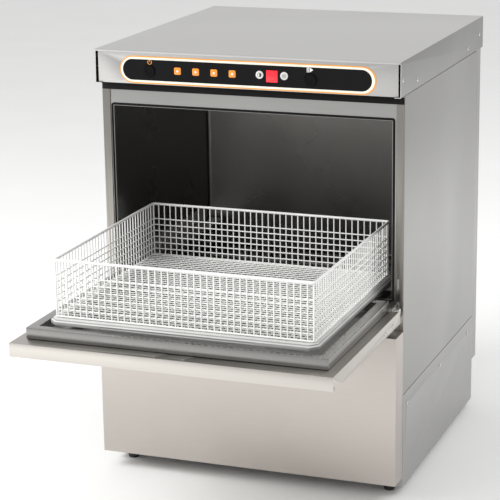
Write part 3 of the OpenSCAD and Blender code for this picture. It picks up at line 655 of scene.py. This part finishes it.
def make_basket():
    """Welded wire basket: a thick rim, upright wires all round and a close mesh below the second wire."""
    lo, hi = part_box("rack_basket")
    wire, post, base_wire, rim = 1.25 * MM, 1.5 * MM, 1.8 * MM, 2.6 * MM
    pitch = 12.25 * MM
    post_every = 10
    x0, x1, y0, y1 = lo.x + rim, hi.x - rim, lo.y + rim, hi.y - rim
    bm = bmesh.new()

    def loop(z, radius, inset=0.0):
        outline = rounded_rectangle((x0 + inset, y0 + inset), (x1 - inset, y1 - inset), 5 * MM)
        tube(bm, [(x, y, z) for x, y in outline], radius, closed=True)

    loop(hi.z - rim, rim)
    loop(lo.z + rim, base_wire)
    rows = 6
    mesh_top = lo.z + 0.70 * (hi.z - lo.z)
    for i in range(rows):
        loop(lo.z + rim + (i + 1) * (mesh_top - lo.z - rim) / rows, wire, 1.4 * MM)
    bottom, top = lo.z + rim, hi.z - rim
    for start, end, fixed in ((x0, x1, (y0, y1)), (y0, y1, (x0, x1))):
        count = round((end - start) / pitch)
        for k in range(1, count):
            along = start + k * (end - start) / count
            radius = post if k % post_every == post_every // 2 else wire
            for other in fixed:
                at = (along, other) if fixed == (y0, y1) else (other, along)
                tube(bm, [(*at, bottom), (*at, top)], radius)
    for x in (x0 + post, x1 - post):
        for y in (y0 + post, y1 - post):
            tube(bm, [(x, y, bottom), (x, y, top)], base_wire)
    floor_z = lo.z + wire
    for start, end, a, b, drop in ((x0, x1, y0, y1, 0.0), (y0, y1, x0, x1, 2 * wire)):
        count = round((end - start) / pitch)
        for k in range(1, count):
            along = start + k * (end - start) / count
            ends = ((along, a), (along, b)) if start == x0 else ((a, along), (b, along))
            tube(bm, [(*ends[0], floor_z + drop), (*ends[1], floor_z + drop)], wire, sides=6)
    smooth_tubes("basket_wires", bm, "rack_basket")


make_basket()


def make_rack_base():
    """Moulded frame under the basket with a step round its top and a long groove in front."""
    lo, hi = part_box("rack_base")
    corner, rail = 14 * MM, 22 * MM
    step = 3.4 * MM
    height = hi.z - lo.z

    def outline(inset):
        x0, x1, y0, y1 = lo.x + inset, hi.x - inset, lo.y + inset, hi.y - inset
        c = max(0.0, corner - 0.6 * inset)
        return [(x0, y1), (x0, y0 + c), (x0 + c, y0), (x1 - c, y0), (x1, y0 + c), (x1, y1)]

    bm = bmesh.new()
    levels = ((0, 0.0), (0, 0.62), (step, 0.74), (step, 1.0), (rail, 1.0), (rail, 0.0))
    loops = [[bm.verts.new((x, y, lo.z + share * height)) for x, y in outline(inset)]
             for inset, share in levels]
    for k in range(len(loops)):
        bridge(bm, loops[k], loops[(k + 1) % len(loops)])
    bmesh.ops.recalc_face_normals(bm, faces=bm.faces)
    obj = piece("rack_base_frame", bm, "rack_base", [RACK_SHADED_GREY, RACK_LIT_PALE])
    tool = bmesh.new()
    span = hi.x - lo.x
    place = Matrix.Translation((lo.x + 0.49 * span, lo.y, lo.z + 0.34 * height))
    groove = Matrix.Diagonal((0.57 * span, 3 * MM, 2.2 * MM, 1))
    bmesh.ops.create_cube(tool, size=1, matrix=place @ groove)
    cut(obj, tool)
    rounded(obj, 0.7 * MM, 2)
    # Painted light and shade: upward faces take the pale copy, the rest the grey copy.
    second_finish(obj, lambda face: face.normal.z > 0.7)


make_rack_base()


# ---- control panel ----

def stadium(lo, hi, margins, steps=24):
    """Outline of a strip with rounded ends, inside a rectangle by margins left, right, below and above."""
    left, right, below, above = margins
    x0, x1, z0, z1 = lo.x + left, hi.x - right, lo.z + below, hi.z - above
    r = (z1 - z0) / 2
    points = []
    for cx, start in ((x1 - r, -90), (x0 + r, 90)):
        for i in range(steps + 1):
            a = math.radians(start + 180 * i / steps)
            points.append((cx + r * math.cos(a), z0 + r + r * math.sin(a)))
    return points


def make_label(buttons):
    """Film label: black field, cream line and orange outline, with a hole round each button."""
    lo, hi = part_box("fascia_label")
    border = (6 * MM, 8.4 * MM, 6.2 * MM, 6.2 * MM)
    outlines = [stadium(lo, hi, tuple(share * b for b in border)) for share in (0.0, 0.38, 1.0)]
    bm = bmesh.new()
    rings = [[bm.verts.new((x, lo.y, z)) for x, z in outline] for outline in outlines]
    back = [bm.verts.new((x, hi.y, z)) for x, z in outlines[0]]
    bridge(bm, back, rings[0])
    bridge(bm, rings[0], rings[1])
    ring_faces = list(bm.faces)
    bridge(bm, rings[1], rings[2])
    cream = [f for f in bm.faces if f not in set(ring_faces)]
    field = bm.faces.new(rings[2])
    rear = bm.faces.new(list(reversed(back)))
    for face in ring_faces:
        face.material_index = 1
    for face in cream:
        face.material_index = 2
    field.material_index = 0
    rear.material_index = 0
    bmesh.ops.recalc_face_normals(bm, faces=bm.faces)
    film = piece("label_film", bm, "fascia_label", [MATERIAL["label_film"], LABEL_ORANGE, LABEL_CREAM])
    clearance, reach = 0.1 * MM, 3 * MM
    holes = bmesh.new()
    for at, radius in buttons:
        start_y = lo.y - reach
        turned(holes, [(0, 0), (0, radius + clearance), (2 * reach, radius + clearance), (2 * reach, 0)],
               (at.x, start_y, at.z), (0, 1, 0), 64)
    cut(film, holes, 30)



def make_lamps():
    """Four orange lenses with rounded corners, each with a pale light guide in its middle."""
    bm = bmesh.new()
    for lo, hi in islands("lamp_lenses"):
        depth = hi.y - lo.y
        steps = ((0.0, 1.0), (0.0, 0.06), (0.9 * MM, 0.0))
        loops = []
        for inset, share in steps:
            outline = rounded_rectangle((lo.x + inset, lo.z + inset), (hi.x - inset, hi.z - inset), 2.6 * MM)
            loops.append([bm.verts.new((x, lo.y + share * depth, z)) for x, z in outline])
        bridge(bm, loops[0], loops[1])
        bridge(bm, loops[1], loops[2])
        bm.faces.new(loops[2])
        bm.faces.new(list(reversed(loops[0])))
        first = len(bm.faces)
        at = Vector(((lo.x + hi.x) / 2, lo.y, (lo.z + hi.z) / 2))
        turned(bm, [(-0.05 * MM, 2.2 * MM), (0.12 * MM, 2.0 * MM), (0.2 * MM, 0)], at, (0, -1, 0), 24)
        bm.faces.ensure_lookup_table()
        for face in bm.faces[first:]:
            face.material_index = 1
    bmesh.ops.recalc_face_normals(bm, faces=bm.faces)
    finish_mesh(piece("lamp_lens_set", bm, "lamp_lenses", [MATERIAL["lamp_plastic"], LABEL_WHITE]), 35)


make_lamps()
refined("display_window", 0.6 * MM, 3)
refined("control_board", 0.2 * MM, 1)


def make_button(node, dish):
    """Round push button with a rounded rim and a shallow dish."""
    lo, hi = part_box(node)
    solid = frame["nodes"][node].data
    front = lo.y
    cap = [v.co for v in solid.vertices if v.co.y < front + 0.1 * MM]
    radius = (max(c.x for c in cap) - min(c.x for c in cap)) / 2
    collar = (hi.x - lo.x) / 2
    at = Vector(((lo.x + hi.x) / 2, front, (lo.z + hi.z) / 2))
    flange_y = min(v.co.y for v in solid.vertices if abs(v.co.x - at.x) > radius + 0.5 * MM) - front
    flange_end = max(v.co.y for v in solid.vertices if abs(v.co.x - at.x) > radius + 0.5 * MM) - front
    edge = 0.9 * MM
    profile = [(dish, 0), (0.8 * dish, 0.45 * radius), (0.0, 0.82 * radius), (0.1 * edge, 0.9 * radius),
               (0.35 * edge, radius - 0.25 * edge), (edge, radius), (flange_y, radius), (flange_y, collar),
               (flange_end, collar), (flange_end, radius), (hi.y - front, radius), (hi.y - front, 0)]
    bm = bmesh.new()
    turned(bm, profile, at, (0, 1, 0), 64)
    bmesh.ops.recalc_face_normals(bm, faces=bm.faces)
    finish_mesh(piece(node + "_cap", bm, node), 35)
    return at, radius


def arc_band(bm, centre, radius, width, start, end, y0, y1, steps=28, material=0):
    """Part of a flat ring between two angles in degrees."""
    outline = []
    for r, order in ((radius + width / 2, range(steps + 1)), (radius - width / 2, range(steps, -1, -1))):
        for i in order:
            a = math.radians(start + (end - start) * i / steps)
            outline.append((centre[0] + r * math.cos(a), centre[1] + r * math.sin(a)))
    plate(bm, outline, y0, y1, material)


def bar(bm, x0, x1, z0, z1, y0, y1, material=0):
    """Flat upright rectangle between two depths."""
    plate(bm, [(x0, z0), (x1, z0), (x1, z1), (x0, z1)], y0, y1, material)


def make_symbols(power, start, keys):
    """Generic symbols on the label: on, start, and a small mark on each key."""
    label_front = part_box("fascia_label")[0].y
    y1 = label_front + 0.05 * MM
    y0 = label_front - 0.12 * MM
    bm = bmesh.new()
    centre = (power[0].x + 1.2 * MM, power[0].z + power[1] + 4.6 * MM)
    arc_band(bm, centre, 3.9 * MM, 1.1 * MM, -235, 55, y0, y1)
    bar(bm, centre[0] - 0.5 * MM, centre[0] + 0.5 * MM, centre[1] + 0.4 * MM, centre[1] + 4.9 * MM, y0, y1)
    left = start[0].x - 6.4 * MM
    base = start[0].z + start[1] + 1.4 * MM
    height = 9.2 * MM
    for k in range(2):
        bar(bm, left + k * 2.4 * MM, left + (k * 2.4 + 1.3) * MM, base, base + height, y0, y1, 1)
    tip = left + 5.4 * MM
    plate(bm, [(tip, base), (tip + 6.8 * MM, base + height / 2), (tip, base + height)], y0, y1, 1)
    bmesh.ops.recalc_face_normals(bm, faces=bm.faces)
    piece("panel_symbols", bm, "fascia_label", [LABEL_ORANGE, LABEL_WHITE], replaces=False)
    for node, (at, radius) in keys.items():
        bm = bmesh.new()
        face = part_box(node)[0].y
        top, deep = face - 0.02 * MM, face + 0.6 * MM
        arc_band(bm, (at.x, at.z), 0.5 * radius, 0.7 * MM, 0, 359, top, deep)
        if node == "key_left":
            arc_band(bm, (at.x, at.z), 0.22 * radius, 0.42 * radius, -90, 90, top, deep)
        else:
            half_width, half_height = 2.2 * MM, 0.3 * MM
            for shift in (-1.3 * MM, 0, 1.3 * MM):
                bar(bm, at.x - half_width, at.x + half_width,
                    at.z + shift - half_height, at.z + shift + half_height, top, deep)
        bmesh.ops.recalc_face_normals(bm, faces=bm.faces)
        piece(node + "_mark", bm, node, MATERIAL["label_film"], replaces=False)


power = make_button("power_button", 0.5 * MM)
start = make_button("start_button", 0.5 * MM)
keys = {node: make_button(node, 0.0) for node in ("key_left", "key_right")}
make_label([power, start, *keys.values()])
make_symbols(power, start, keys)


# ---- floor, light and camera ----

def make_stage():
    """Plain pale floor under the machine."""
    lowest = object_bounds()[0].z
    size = 14.0
    bm = bmesh.new()
    bmesh.ops.create_grid(bm, x_segments=8, y_segments=8, size=size / 2)
    floor = new_object("floor", bm)
    floor.location.z = lowest
    paper = moulded("floor_paper", (0.93, 0.93, 0.925), 0.8, scale=60, mottle=0.01, depth=0.02)
    floor.data.materials.append(paper)


def soft_light(name, at, aim, size, power):
    """Large area light that lights the scene without showing in the steel."""
    light = bpy.data.lights.new(name, "AREA")
    light.shape = "RECTANGLE"
    light.size, light.size_y = size
    light.energy = power
    obj = bpy.data.objects.new(name, light)
    obj.location = at
    obj.rotation_euler = (Vector(aim) - Vector(at)).to_track_quat("-Z", "Y").to_euler()
    obj.visible_glossy = False
    bpy.context.scene.collection.objects.link(obj)


def make_light():
    """Even white surroundings, with the floor brighter in front on the left and behind on the right."""
    world = bpy.data.worlds.new("studio")
    world.use_nodes = True
    background = world.node_tree.nodes["Background"]
    background.inputs["Color"].default_value = (1, 1, 1, 1)
    background.inputs["Strength"].default_value = 0.72
    bpy.context.scene.world = world
    soft_light("key", (-2.6, -2.2, 2.6), (-1.2, -1.2, 0), (2.4, 2.4), 150)
    soft_light("fill", (2.6, 1.4, 2.4), (1.8, 0.9, 0), (1.8, 1.8), 42)


def make_camera():
    """Camera at the height and angle of a product picture, its long lens aimed by angle alone."""
    azimuth, elevation, roll = (math.radians(a) for a in (CAMERA_AZIMUTH, CAMERA_ELEVATION, CAMERA_ROLL))
    camera = bpy.data.cameras.new("camera")
    camera.sensor_width = 36
    camera.lens = CAMERA_LENS
    camera.clip_end = 60
    obj = bpy.data.objects.new("camera", camera)
    back = Vector((math.sin(azimuth) * math.cos(elevation), -math.cos(azimuth) * math.cos(elevation),
                   math.sin(elevation)))
    turn = back.to_track_quat("Z", "Y") @ Matrix.Rotation(roll, 3, "Z").to_quaternion()
    obj.matrix_world = Matrix.Translation(CAMERA_AT) @ turn.to_matrix().to_4x4()
    bpy.context.scene.collection.objects.link(obj)
    bpy.context.scene.camera = obj


make_stage()
make_light()
make_camera()
bpy.context.scene.view_settings.view_transform = "Standard"
